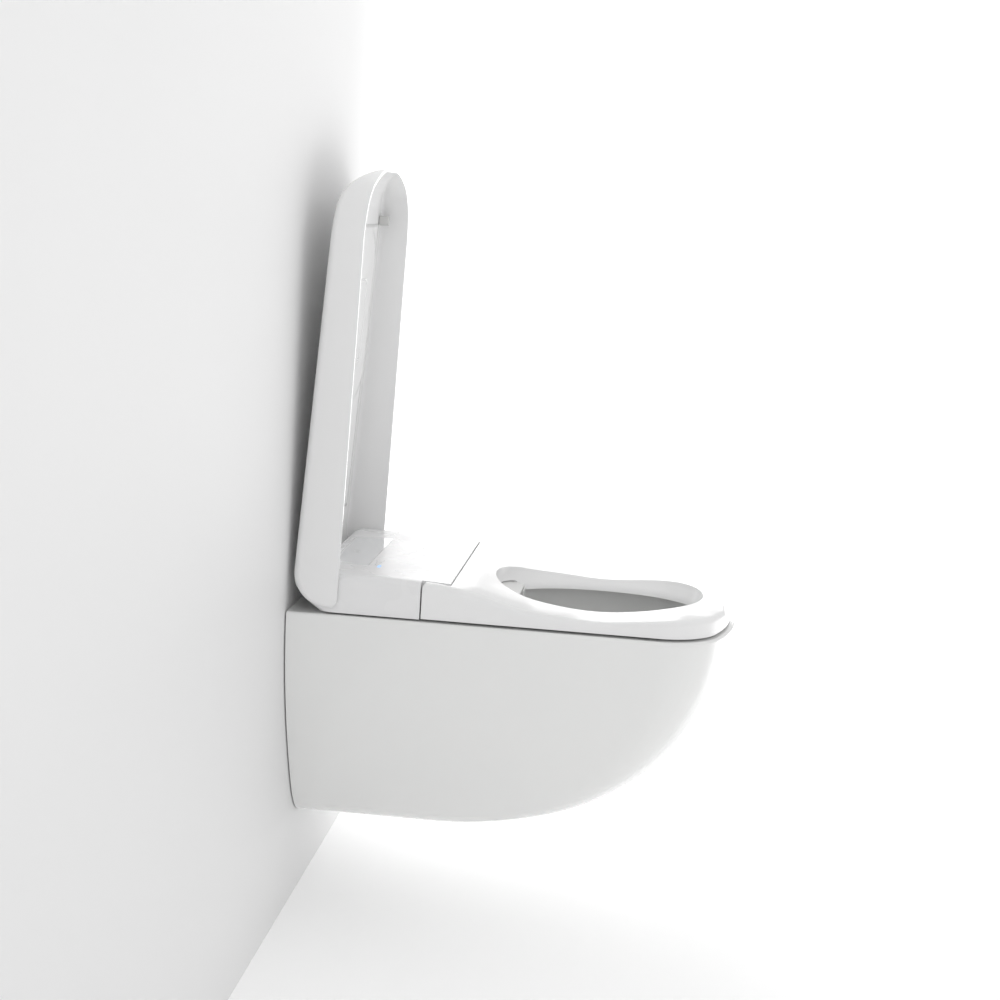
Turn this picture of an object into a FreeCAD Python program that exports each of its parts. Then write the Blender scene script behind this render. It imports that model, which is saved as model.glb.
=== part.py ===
"""Wall hung shower toilet: a ceramic pan with a washing unit, a seat and a lid.

Millimetres. The origin is on the wall face, midway between the two fixing
studs. +Z is up, and the pan reaches out from the wall along -Y. Left and right
are those of a person who faces the wall, so +X is on the right.

The lid is drawn closed and then turned up about its hinge. The seat lies down,
and the spray arms are drawn in.
"""

import FreeCAD, Part
import math
import os

V = FreeCAD.Vector
X, Y, Z = V(1, 0, 0), V(0, 1, 0), V(0, 0, 1)
SIDES = (("left", -1), ("right", 1))

# ---- driving dimensions -------------------------------------------------

# the pan
PAN_WIDTH = 375.0
PAN_REACH = 600.0            # from the wall to the front of the rim
PAN_HEIGHT = 324.0           # from the rim to the belly
RIM_UP = 85.0                # the rim above the fixing studs
SIDE_TUCK = 120.0            # how far each side draws in on the way down
CORNER_R = 85.0              # the rim's front corners, in plan
FRONT_R = 380.0              # the rim's bowed front, in plan
BELLY_R = 62.0               # the belly's front end, in plan
SHELL = 12.0                 # thickness of the pan's outer wall
DECK = 15.0                  # thickness of the top behind and beside the bowl
BACK = 16.0                  # thickness of the back, against the wall
BACK_LAND = 26.0             # width of the back's flat margin
RIM_ROUND = 4.0

# the bowl and the trap
BOWL_WIDTH = 284.0
BOWL_LENGTH = 300.0
BOWL_CENTRE = 415.0          # from the wall
GLAZE = 10.0                 # thickness of the bowl and of the trap
SUMP_R = 38.0
SUMP_OUT = 330.0             # the sump's centre, from the wall
SUMP_DOWN = 276.0            # the sump's floor, below the rim
TRAP_R = 29.0
WEIR_DOWN = 138.0            # centre of the trap's highest run, below the rim
TRAP_BEND = 46.0

# the wall connections, from the fixing studs
STUD_SPACING = 180.0
OUTLET_DOWN = 100.0
OUTLET_R = 51.0
OUTLET_BORE = 41.0
OUTLET_LENGTH = 78.0
INLET_UP = 35.0
INLET_BORE = 31.0
INLET_PIPE = 22.5            # bore of the seal, for the flush pipe
INLET_DEPTH = 45.0
DUCT_R = 21.0
SLEEVE_R = 9.5
STUD_HOLE = 6.5
SLEEVE_FLANGE = 13.0
WELL_WIDTH = 34.0
WELL_LENGTH = 40.0
WASHER_R = 12.0
NUT_ACROSS = 18.0
NUT_THICK = 10.0

# the washing unit
UNIT_WIDTH = 364.0
UNIT_GAP = 2.5               # above the rim
UNIT_TOP = 55.0              # above the rim
UNIT_FRONT_TOP = 51.0
UNIT_FRONT = 216.0           # from the wall
UNIT_FLAT = 130.0            # where the top starts to fall, from the wall
UNIT_ROUND = 10.0
UNIT_TUCK = 55.0             # degrees below the hinge where the back runs straight
COVER_WALL = 3.0
TRAY_FLOOR = 5.5
TRAY_RIM = 8.0
PLATE_THICK = 5.0
PLATE_HOLES = 155.0          # spacing of the deck's two holes
PLATE_OUT = 150.0            # the deck's holes, from the wall
PANEL_OUT = 40.5
PANEL_FRONT = 94.0
PANEL_REAR_WIDTH = 200.0
PANEL_FRONT_WIDTH = 218.0
PANEL_THICK = 1.6
LAMP_OUT = 109.0
LAMP_ASIDE = 107.0
LAMP_WIDTH = 16.0
LAMP_LENGTH = 4.0

# the lid
LID_WIDTH = 375.0
LID_REACH = 601.0
LID_WALL = 4.0
LID_AXIS_OUT = 39.5
LID_AXIS_UP = 32.4           # above the rim
LID_GAP = 4.5                # from the rim to the closed lid
LID_REAR = 14.5              # the closed lid's back, from the wall
LID_REAR_TOP = 66.0          # above the rim
LID_FRONT_TOP = 48.0
LID_REAR_ROUND = 46.0
LID_FRONT_ROUND = 60.0
LID_EDGE_ROUND = 10.0
LID_HEEL = 31.4              # the side walls' back corners, about the hinge
LID_OPEN = 88.5
LID_PIN_R = 5.0
PAD_THICK = 4.0
PAD_WIDTH = 316.0

# the seat
SEAT_WIDTH = 364.0
SEAT_GAP = 3.5               # from the rim to the underside
SEAT_REAR_TOP = 49.0         # heights of the seat's top above the rim
SEAT_DIP = 18.5
SEAT_FRONT_TOP = 29.0
SEAT_AXIS_OUT = 190.0
SEAT_AXIS_UP = 44.0
SEAT_ARM = 12.5
SEAT_ARM_REAR = 180.0
SEAT_ROUND = 8.0
SEAT_PIN_R = 4.0
HOLE_WIDTH = 200.0
HOLE_LENGTH = 276.0
HOLE_CENTRE = 407.0
BUMPER_WIDTH = 16.0
BUMPER_LENGTH = 42.0

# the spray arms, their housing and the warm air flap
ARM_TILT = 12.0
ARM_R = 6.5
ARM_LENGTH = 172.0
ARM_ASIDE = 13.0
ARM_OUT = 262.0              # where an arm's axis crosses ARM_UP
ARM_UP = 10.0
ARM_TRAVEL = 70.0
HOUSING_OUT = 296.0
HOUSING_WALL = 3.0
AIR_WIDTH = 32.0
AIR_HEIGHT = 13.0
FLAP_THICK = 2.0

# named clearances
SEAM = 1.0                   # between the seat and the washing unit
ARM_GAP = 2.2                # behind the seat's arms
LID_SIDE_GAP = 1.7           # between the lid and what it covers
RUN = 0.08                   # a pin or an arm in its bore, on the radius
FIT = 0.3                    # between pieces that stay still
PRESS = 0.02                 # a pin in the piece that holds it, on the radius

# ---- places that follow from the dimensions ------------------------------

RIM = RIM_UP
HALF = PAN_WIDTH / 2
LID_AXIS = V(0, -LID_AXIS_OUT, RIM + LID_AXIS_UP)
SEAT_AXIS = V(0, -SEAT_AXIS_OUT, RIM + SEAT_AXIS_UP)
UNIT_NOSE = UNIT_TOP - LID_AXIS_UP
UNIT_BACK = LID_AXIS_OUT - UNIT_NOSE
UNIT_HALF = UNIT_WIDTH / 2
TRAY_TOP = RIM + UNIT_GAP + TRAY_FLOOR
TONGUE_HALF = SEAT_WIDTH / 2 - SEAT_ARM - SEAM
BAR = FreeCAD.Vector(0, -math.cos(math.radians(ARM_TILT)), -math.sin(math.radians(ARM_TILT)))


# ---- small helpers -------------------------------------------------------

def block(x0, x1, y0, y1, z0, z1):
    """A box between two values on each axis, given in either order."""
    low = V(min(x0, x1), min(y0, y1), min(z0, z1))
    return Part.makeBox(abs(x1 - x0), abs(y1 - y0), abs(z1 - z0), low)


def rod(r, start, way, length):
    return Part.makeCylinder(r, length, start, way)


def tube(outer, inner, start, way, length):
    return rod(outer, start, way, length).cut(rod(inner, start - way, way, length + 2))


def fillet(shape, r, chosen):
    """Rounds the edges that chosen picks by their middle and direction."""
    edges = [e for e in shape.Edges if chosen(e)]
    return shape.makeFillet(r, edges) if edges else shape


def upright(e):
    """True for a straight edge along Z."""
    if not isinstance(e.Curve, Part.Line):
        return False
    return abs(e.Curve.Direction.z) > 0.999


def rounded_block(x0, x1, y0, y1, z0, z1, r):
    return fillet(block(x0, x1, y0, y1, z0, z1), r, upright)


def face_of(points):
    """A flat face from corner points."""
    return Part.Face(Part.makePolygon(points + points[:1]))


def dee(inset, back, reach, z, half=HALF, corner=CORNER_R, front=FRONT_R):
    """A squared D in plan, drawn in by inset: straight back and sides, and three
    arcs round the front, each tangent to the next."""
    w, rc, rf = half - inset, corner - inset, front - inset
    start = -reach + rf - math.sqrt((rf - rc) ** 2 - (w - rc) ** 2)
    mid = V(0, -reach + rf, z)
    edges, ends = [], []
    for side in (1, -1):
        hub = V(side * (w - rc), start, z)
        out = (hub - mid).normalize()
        leave = hub + out * rc
        bow = (V(side, 0, 0) + out).normalize()
        ends.append((V(side * w, start, z), hub + bow * rc, leave))
    (a, b, c), (g, f, e) = ends
    right, left = V(w, -back, z), V(-w, -back, z)
    return Part.Wire([Part.makeLine(right, a), Part.Arc(a, b, c).toShape(),
                      Part.Arc(c, V(0, -reach, z), e).toShape(),
                      Part.Arc(e, f, g).toShape(),
                      Part.makeLine(g, left), Part.makeLine(left, right)])


def oval(half_x, half_y, centre, z, power=2.2, steps=16):
    """A closed superellipse in plan."""
    points = []
    for i in range(steps):
        a = 2 * math.pi * i / steps
        c, s = math.cos(a), math.sin(a)
        x = half_x * math.copysign(abs(c) ** (2 / power), c)
        y = half_y * math.copysign(abs(s) ** (2 / power), s)
        points.append(V(x, -centre + y, z))
    curve = Part.BSplineCurve()
    curve.interpolate(Points=points, PeriodicFlag=True,
                      Parameters=[i / steps for i in range(steps + 1)])
    return Part.Wire([curve.toShape()])


def bent_path(points, radius):
    """Straight runs through points in the YZ plane, joined by tangent arcs."""
    edges, at = [], points[0]
    for before, p, after in zip(points, points[1:], points[2:]):
        come, go = (p - before).normalize(), (after - p).normalize()
        turn = come.getAngle(go)
        back = radius * math.tan(turn / 2)
        a, b = p - come * back, p + go * back
        inward = (go - come).normalize()
        middle = p + inward * (radius / math.cos(turn / 2) - radius)
        edges += [Part.makeLine(at, a), Part.Arc(a, middle, b).toShape()]
        at = b
    return Part.Wire(edges + [Part.makeLine(at, points[-1])])


def swept_rod(path, r):
    start = path.Edges[0].Vertexes[0].Point
    way = path.Edges[0].tangentAt(0)
    ring = Part.Wire([Part.makeCircle(r, start, way)])
    return path.makePipeShell([ring], True, False)


def mirrored(shape, side):
    return shape if side > 0 else shape.mirror(V(0, 0, 0), X)


# ---- the ceramic pan -----------------------------------------------------

def hull(inset, top, back):
    """The pan's outer form, or the same form drawn in by inset."""
    height = PAN_HEIGHT - inset
    wires = []
    for s in (0.0, 0.07, 0.18, 0.35, 0.55, 0.74, 0.88, 0.96, 0.994):
        belly = (1 - s ** 24) ** 0.4
        half = (HALF - SIDE_TUCK * s ** 1.85) * belly
        reach = PAN_REACH * (1 - s ** 1.9) ** (1 / 3.6) - inset
        corner = CORNER_R + (0.9 * BELLY_R - CORNER_R) * s
        front = FRONT_R + (BELLY_R - FRONT_R) * s
        wires.append(dee(inset, back, reach, RIM - top - s * (height - top),
                         half, min(corner, 0.92 * half), max(front, half + 8)))
    return Part.makeLoft(wires, True, False)


def bowl(grow):
    """The bowl's inside, or its outside when grown by the glaze's thickness."""
    half_x, half_y = BOWL_WIDTH / 2, BOWL_LENGTH / 2
    floor = SUMP_DOWN
    stations = (
        (0.0, half_x, half_y, BOWL_CENTRE),
        (0.16, half_x - 3, half_y - 2, BOWL_CENTRE - 2),
        (0.36, half_x - 20, half_y - 16, BOWL_CENTRE - 13),
        (0.54, half_x - 45, half_y - 38, BOWL_CENTRE - 32),
        (0.70, half_x - 72, half_y - 70, BOWL_CENTRE - 58),
        (0.83, SUMP_R + 7, SUMP_R + 10, SUMP_OUT + 6),
        (1.0, SUMP_R, SUMP_R, SUMP_OUT),
    )
    up = 0 if grow else 1
    wires = []
    for s, a, b, centre in stations:
        z = RIM - s * floor - grow * s + (up if s == 0 else 0)
        wires.append(oval(a + grow, b + grow, centre, z))
    return Part.makeLoft(wires, True, False)


def trap_path():
    """The trap's centre line: out of the sump, over the weir, down to the outlet."""
    low = RIM - SUMP_DOWN + TRAP_R + 2
    weir = RIM - WEIR_DOWN
    rise, fall = SUMP_OUT - 70, 2 * OUTLET_LENGTH - 40
    return bent_path([V(0, -SUMP_OUT, low), V(0, -rise, low), V(0, -rise + 58, weir),
                      V(0, -fall - 44, weir), V(0, -fall, -OUTLET_DOWN),
                      V(0, -OUTLET_LENGTH + 6, -OUTLET_DOWN)], TRAP_BEND)


def stud_well(side):
    """The pocket under the unit where a wall stud's nut is tightened."""
    x = side * STUD_SPACING / 2
    return rounded_block(x - WELL_WIDTH / 2, x + WELL_WIDTH / 2,
                         -BACK - 12, -BACK - 12 - WELL_LENGTH,
                         -WELL_WIDTH / 2, RIM + 1, 3)


def stud_pillar(side):
    x, wide = side * STUD_SPACING / 2, WELL_WIDTH / 2 + GLAZE
    return block(x - wide, x + wide, 0, -BACK - 12 - WELL_LENGTH - GLAZE,
                 -WELL_WIDTH / 2 - GLAZE, RIM - 1)


def ceramic_pan():
    body = hull(0, 0, -2)
    body = fillet(body, RIM_ROUND, lambda e: rim_edge(e))
    body = body.cut(block(-HALF - 1, HALF + 1, 0, 4, RIM - PAN_HEIGHT - 1, RIM + 1))
    body = body.cut(hull(SHELL, DECK, BACK))
    window = hull(BACK_LAND, BACK_LAND, 0).common(
        block(-HALF, HALF, 1, -BACK - 1, -PAN_HEIGHT, RIM))
    body = body.cut(window)
    within = hull(2, 2, 0)
    inlet = V(0, 0, INLET_UP)
    bowl_back = BOWL_CENTRE - BOWL_LENGTH / 2 + 12
    outlet = V(0, 0, -OUTLET_DOWN)
    solids = [bowl(GLAZE), swept_rod(trap_path(), TRAP_R + GLAZE),
              rod(OUTLET_R, outlet - Y * 6, -Y, OUTLET_LENGTH),
              rod(INLET_BORE + GLAZE, inlet, -Y, INLET_DEPTH + GLAZE),
              rod(DUCT_R + GLAZE, inlet, -Y, bowl_back)]
    solids += [stud_pillar(side) for _, side in SIDES]
    for s in solids:
        body = body.fuse(s.common(within))
    hollows = [bowl(0), swept_rod(trap_path(), TRAP_R),
               rod(OUTLET_BORE, outlet + Y, -Y, OUTLET_LENGTH - 4),
               rod(INLET_BORE, inlet + Y, -Y, INLET_DEPTH + 1),
               rod(DUCT_R, inlet, -Y, bowl_back + 4)]
    for _, side in SIDES:
        stud = V(side * STUD_SPACING / 2, 1, 0)
        hollows += [stud_well(side), rod(SLEEVE_R + FIT, stud, -Y, BACK + 20)]
        deck_hole = V(side * PLATE_HOLES / 2, -PLATE_OUT, RIM + 1)
        hollows.append(rod(7.5, deck_hole, -Z, DECK + 30))
    for h in hollows:
        body = body.cut(h)
    return body


def rim_edge(e):
    """The rim's top edge round the sides and the front."""
    box = e.BoundBox
    flat = box.ZLength < 0.01 and abs(box.ZMin - RIM) < 0.01
    return flat and box.YMin < -1


# ---- what joins the pan to the wall --------------------------------------

def fixing_sleeve(side):
    """A plastic bush that keeps the stud off the ceramic, with a flange."""
    x = side * STUD_SPACING / 2
    body = rod(SLEEVE_R, V(x, 0, 0), -Y, BACK + 12)
    body = body.fuse(rod(SLEEVE_FLANGE, V(x, -BACK - 12, 0), -Y, 3))
    return body.cut(rod(STUD_HOLE, V(x, 1, 0), -Y, BACK + 30))


def fixing_washer(side):
    x = side * STUD_SPACING / 2
    return tube(WASHER_R, STUD_HOLE, V(x, -BACK - 15, 0), -Y, 2.5)


def fixing_nut(side):
    """A hexagon nut with a chamfered face."""
    x = side * STUD_SPACING / 2
    at = -BACK - 17.5
    r = NUT_ACROSS / 2 / math.cos(math.pi / 6)
    corners = [V(x + r * math.cos(a), at, r * math.sin(a))
               for a in (math.radians(60 * i) for i in range(6))]
    body = face_of(corners).extrude(V(0, -NUT_THICK, 0))
    cone = Part.makeCone(r + NUT_THICK - 1, r - 1, NUT_THICK, V(x, at, 0), -Y)
    return body.common(cone).cut(rod(STUD_HOLE - 1.2, V(x, 1, 0), -Y, 80))


def flush_seal():
    """A rubber sleeve with a lip, which takes the flush pipe."""
    start = V(0, -1, INLET_UP)
    body = rod(INLET_BORE - FIT, start, -Y, INLET_DEPTH - 4)
    body = body.cut(rod(INLET_PIPE + 2, start + Y, -Y, INLET_DEPTH))
    for at in (8, 18, 28):
        body = body.fuse(tube(INLET_BORE - FIT, INLET_PIPE, start - Y * at, -Y, 2.5))
    return body


def outlet_seal():
    """A rubber ring on the outlet's outside, with two ribs."""
    start = V(0, -10, -OUTLET_DOWN)
    body = tube(OUTLET_R + 3, OUTLET_R + FIT, start, -Y, 30)
    for at in (4, 20):
        body = body.fuse(tube(OUTLET_R + 5, OUTLET_R + FIT, start - Y * at, -Y, 4))
    return body


# ---- the washing unit ----------------------------------------------------

def unit_form(inset, low):
    """The unit's outside, or its inside when inset by the cover's wall."""
    z0, top = RIM + low, RIM + UNIT_TOP - inset
    nose = UNIT_NOSE - inset
    axis = LID_AXIS
    turn = math.radians(UNIT_TUCK)
    b = V(0, axis.y + nose * math.cos(turn), axis.z - nose * math.sin(turn))
    a = V(0, b.y - math.tan(turn) * (b.z - z0), z0)
    c, d = V(0, axis.y, top), V(0, -UNIT_FLAT, top)
    e = V(0, -UNIT_FRONT + inset, RIM + UNIT_FRONT_TOP - inset)
    f = V(0, -UNIT_FRONT + inset, z0)
    nose_arc = Part.Arc(b, V(0, axis.y + nose, axis.z), c).toShape()
    edges = [Part.makeLine(a, b), nose_arc, Part.makeLine(c, d),
             Part.makeLine(d, e), Part.makeLine(e, f), Part.makeLine(f, a)]
    half = UNIT_HALF - inset
    side = Part.Face(Part.Wire(edges))
    side.translate(V(-half, 0, 0))
    body = side.extrude(V(2 * half, 0, 0))
    shoulder = -SEAT_ARM_REAR + ARM_GAP + inset
    for _, s in SIDES:
        body = body.cut(block(s * (TONGUE_HALF - inset), s * (half + 5),
                              shoulder, -UNIT_FRONT - 5, z0 - 5, top + 5))
    return fillet(body, UNIT_ROUND - inset, lambda e: top_side(e, half))


def top_side(e, half):
    """The long top edges at the unit's two sides, back to the hinge."""
    m = e.BoundBox
    return (m.XLength < 0.01 and abs(abs(m.Center.x) - half) < 0.01
            and m.ZMax > RIM + 40 and m.YLength > 5)


def panel_face(grow, z):
    """The flat control panel's outline, wider at the back."""
    rear, front = PANEL_REAR_WIDTH / 2 + grow, PANEL_FRONT_WIDTH / 2 + grow
    back, near = -PANEL_OUT + grow, -PANEL_FRONT - grow
    return face_of([V(-rear, back, z), V(rear, back, z), V(front, near, z), V(-front, near, z)])


def panel_body(grow):
    body = panel_face(grow, RIM + UNIT_TOP - PANEL_THICK).extrude(V(0, 0, PANEL_THICK + grow))
    return fillet(body, 5 + grow, upright)


def lamp_body(grow):
    z = RIM + UNIT_TOP
    return rounded_block(-LAMP_ASIDE - LAMP_WIDTH / 2 - grow, -LAMP_ASIDE + LAMP_WIDTH / 2 + grow,
                         -LAMP_OUT - LAMP_LENGTH / 2 - grow, -LAMP_OUT + LAMP_LENGTH / 2 + grow,
                         z - COVER_WALL - 1, z + grow, 1.6 + grow)


def top_cover():
    body = unit_form(0, UNIT_GAP).cut(unit_form(COVER_WALL, -20))
    body = body.cut(panel_body(FIT)).cut(lamp_body(FIT))
    body = body.cut(housing_form(FIT + 0.7))
    for _, s in SIDES:
        lid_pin = V(s * (UNIT_HALF - 20), LID_AXIS.y, LID_AXIS.z)
        seat_pin = V(s * (TONGUE_HALF - 15), SEAT_AXIS.y, SEAT_AXIS.z)
        body = body.cut(rod(LID_PIN_R + FIT, lid_pin, X * s, 30))
        body = body.cut(rod(SEAT_PIN_R + RUN, seat_pin, X * s, 20))
    body = body.cut(button_body(FIT))
    return body


def sensor_panel():
    body = panel_face(0, RIM + UNIT_TOP - PANEL_THICK).extrude(V(0, 0, PANEL_THICK))
    return fillet(body, 5, upright)


def mounting_plate():
    """A plate screwed to the deck, which the unit slides onto."""
    body = rounded_block(-118, 118, -105, -200, RIM, RIM + PLATE_THICK, 8)
    for _, s in SIDES:
        x = s * PLATE_HOLES / 2
        slot = rounded_block(x - 4.6, x + 4.6, -PLATE_OUT + 9, -PLATE_OUT - 9,
                             RIM - 1, RIM + PLATE_THICK + 1, 4.5)
        body = body.cut(slot)
    return body


def plate_screw(side):
    """A pan head screw through the plate, with its plug under the deck."""
    x, top = side * PLATE_HOLES / 2, RIM + PLATE_THICK
    body = rod(4, V(x, -PLATE_OUT, top), -Z, PLATE_THICK + DECK + 16)
    head = rod(9, V(x, -PLATE_OUT, top), Z, 2.7)
    head = fillet(head, 2, lambda e: e.BoundBox.ZMin > top + 2)
    plug = rod(7, V(x, -PLATE_OUT, RIM - 0.5), -Z, DECK + 10)
    return body.fuse(head).fuse(plug)


def unit_base():
    """The unit's tray: a floor with a rim, cradles, ribs and a plate pocket."""
    clear = COVER_WALL + FIT
    floor = RIM + UNIT_GAP
    slab = block(-UNIT_HALF, UNIT_HALF, 0, -UNIT_FRONT, floor, floor + TRAY_RIM)
    body = unit_form(clear, UNIT_GAP - 5).common(slab)
    body = body.cut(unit_form(clear + 2.5, UNIT_GAP - 5).common(slab.translated(V(0, 0, TRAY_FLOOR))))
    pocket = rounded_block(-118 - FIT, 118 + FIT, -105 + FIT, -200 - FIT,
                           RIM - 1, RIM + PLATE_THICK, 8 + FIT)
    body = body.cut(pocket).cut(housing_form(FIT))
    for _, s in SIDES:
        x = s * PLATE_HOLES / 2
        body = body.cut(rod(10, V(x, -PLATE_OUT, RIM), Z, 20))
        cradle = block(s * 140, s * 172, LID_AXIS.y + 12, LID_AXIS.y - 14,
                       floor + 2, LID_AXIS.z - 4)
        cradle = cradle.cut(rod(13 + FIT, V(s * 138, LID_AXIS.y, LID_AXIS.z), X * s, 36))
        body = body.fuse(cradle.common(unit_form(clear, UNIT_GAP)))
        post = block(s * (TONGUE_HALF - 14), s * (TONGUE_HALF - COVER_WALL - FIT),
                     SEAT_AXIS.y - 8, SEAT_AXIS.y + 8, floor + 2, SEAT_AXIS.z + 2)
        body = body.fuse(post)
        body = body.cut(rod(SEAT_PIN_R + RUN, V(s * (TONGUE_HALF - 15), SEAT_AXIS.y, SEAT_AXIS.z),
                            X * s, 20))
    return body


def hinge_damper(side):
    """A cylinder that slows the lid, lying in its cradle."""
    start = V(side * 141, LID_AXIS.y, LID_AXIS.z)
    body = rod(13, start, X * side, 32)
    body = body.fuse(rod(9, start, -X * side, 8))
    return body.cut(rod(LID_PIN_R + RUN, start - X * side * 4, X * side, 60))


def heater_tank():
    """The flow heater: a rounded tank with ribs and two pipe stubs."""
    z = TRAY_TOP
    body = rounded_block(-118, -28, -48, -101, z, z + 34, 12)
    for x in (-100, -73, -46):
        body = body.fuse(rounded_block(x - 2, x + 2, -46, -103, z, z + 36, 1.5))
    for y in (-58, -86):
        body = body.fuse(rod(5, V(-29, y, z + 20), X, 12))
    return body


def water_pump():
    """A small pump lying on its side, with a foot."""
    z = TRAY_TOP
    body = rod(16, V(40, -60, z + 20), X, 46)
    body = body.fuse(rod(12, V(28, -60, z + 20), X, 14))
    body = body.fuse(block(44, 80, -48, -72, z, z + 12))
    return body.fuse(rod(4, V(35, -60, z + 20), -Y, 22))


def valve_block():
    z = TRAY_TOP
    body = rounded_block(96, 132, -52, -96, z, z + 22, 3)
    for y in (-62, -84):
        body = body.fuse(rod(8, V(114, y, z + 20), Z, 14))
    return body


def control_board():
    """The circuit board on four posts, with its taller parts."""
    z = TRAY_TOP + 6
    body = block(-158, -66, -112, -172, z, z + 1.6)
    for x in (-152, -72):
        for y in (-117, -167):
            body = body.fuse(rod(2.5, V(x, y, TRAY_TOP), Z, z - TRAY_TOP + 1))
    for i in range(4):
        body = body.fuse(block(-148 + 18 * i, -138 + 18 * i, -124, -138, z + 1, z + 8))
    for i in range(3):
        body = body.fuse(rod(6, V(-140 + 24 * i, -155, z + 1), Z, 17))
    return body


def dryer_fan():
    """The warm air fan: a scroll housing with its outlet towards the bowl."""
    z = TRAY_TOP
    body = rod(27, V(96, -140, z), Z, 30)
    body = body.fuse(block(96, 123, -140, -184, z, z + 30))
    body = body.cut(rod(12, V(96, -140, z + 24), Z, 10))
    return body.fuse(rod(4, V(96, -140, z + 20), Z, 9))


def arm_axis(side):
    """A point on a spray arm's axis, and its place at the front."""
    start = V(side * ARM_ASIDE, -ARM_OUT, RIM + ARM_UP)
    front = (HOUSING_OUT - 2 - ARM_OUT) / -BAR.y
    return start, start + BAR * front


def housing_form(grow):
    """The nozzle housing's outside: a slab that lies along the arms."""
    thick = ARM_R + HOUSING_WALL + grow
    ends = []
    for out in (205, HOUSING_OUT + grow):
        centre = RIM + ARM_UP - (out - ARM_OUT) * math.tan(math.radians(ARM_TILT))
        ends.append((out, centre))
    (o0, z0), (o1, z1) = ends
    under = RIM + 1.2 - grow
    points = [V(0, -o0, z0 + thick), V(0, -o1, z1 + thick), V(0, -o1, z1 - thick - 6),
              V(0, -ARM_OUT - 18 + grow, z1 - thick - 6), V(0, -ARM_OUT - 18 + grow, under),
              V(0, -o0, under)]
    left = -ARM_ASIDE - ARM_R - HOUSING_WALL - 4 - grow
    right = ARM_ASIDE + ARM_R + 2 * HOUSING_WALL + AIR_WIDTH + 3 + grow
    side = face_of([p + V(left, 0, 0) for p in points])
    return side.extrude(V(right - left, 0, 0))


def air_port():
    """The warm air port's low corner and size, in the housing's front."""
    x0 = ARM_ASIDE + ARM_R + HOUSING_WALL + 2
    centre = RIM + ARM_UP - (HOUSING_OUT - ARM_OUT) * math.tan(math.radians(ARM_TILT))
    return x0, centre - AIR_HEIGHT / 2


def nozzle_housing():
    body = housing_form(0)
    body = fillet(body, 2, lambda e: e.BoundBox.XLength > 50 and e.BoundBox.YMax < -HOUSING_OUT + 1)
    for side in (-1, 1):
        start, _ = arm_axis(side)
        body = body.cut(rod(ARM_R + RUN, start - BAR * 80, BAR, 200))
    x0, z0 = air_port()
    body = body.cut(block(x0, x0 + AIR_WIDTH, -HOUSING_OUT + 24, -HOUSING_OUT - 5,
                          z0, z0 + AIR_HEIGHT))
    return body


def spray_arm(side):
    """A spray arm: a tube with a rack under its back end."""
    _, tip = arm_axis(side)
    body = rod(ARM_R, tip - BAR * 14, -BAR, ARM_LENGTH - 14)
    body = body.cut(rod(2.5, tip, -BAR, ARM_LENGTH + 1))
    collar = rod(ARM_R + 1.5, tip - BAR * (ARM_LENGTH - 6), -BAR, 6)
    return body.fuse(collar.cut(rod(2.5, tip, -BAR, ARM_LENGTH + 1)))


def nozzle_tip(side):
    """The arm's round nosed end, with its spray holes on top."""
    _, tip = arm_axis(side)
    body = rod(ARM_R, tip, -BAR, 14)
    body = fillet(body, 3, lambda e: e.BoundBox.YMax < tip.y + 3)
    body = body.cut(rod(2.5, tip - BAR * 9.5, -BAR, 6))
    count, up = (3, 5)[side > 0], V(0, BAR.z, -BAR.y)
    for i in range(count):
        at = tip - BAR * (4 + 4.5 * i / count) + up * (ARM_R - 2)
        body = body.cut(rod(0.4, at, up, 4))
    return body


def dryer_flap():
    """The flap over the warm air port, hung from its top edge."""
    x0, z0 = air_port()
    y = -HOUSING_OUT - FIT
    r, top = FLAP_THICK / 2, z0 + AIR_HEIGHT - FLAP_THICK / 2
    left, wide = x0 + 0.5, AIR_WIDTH - 1
    body = block(left, left + wide, y, y - FLAP_THICK, z0 + 0.5, top)
    body = fillet(body, 0.8, lambda e: e.BoundBox.XLength > 20 and e.BoundBox.YMin < y - 1.5
                  and e.BoundBox.ZMax < top - 1)
    return body.fuse(rod(r, V(left, y - r, top), X, wide))


def button_body(grow):
    """The release button in the unit's right side."""
    x = UNIT_HALF + 0.5
    z = RIM + 22
    body = block(x - 12, x, -118 + grow, -142 - grow, z - 6 - grow, z + 6 + grow)
    return fillet(body, 3 + grow, lambda e: abs(e.BoundBox.XLength - 12) < 0.1)


def release_button():
    """The button's cap and the collar that keeps it in."""
    body = button_body(0)
    x = UNIT_HALF - COVER_WALL - FIT
    z = RIM + 22
    return body.fuse(block(x - 3, x, -115, -145, z - 9, z + 9))


# ---- the seat ------------------------------------------------------------

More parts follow.
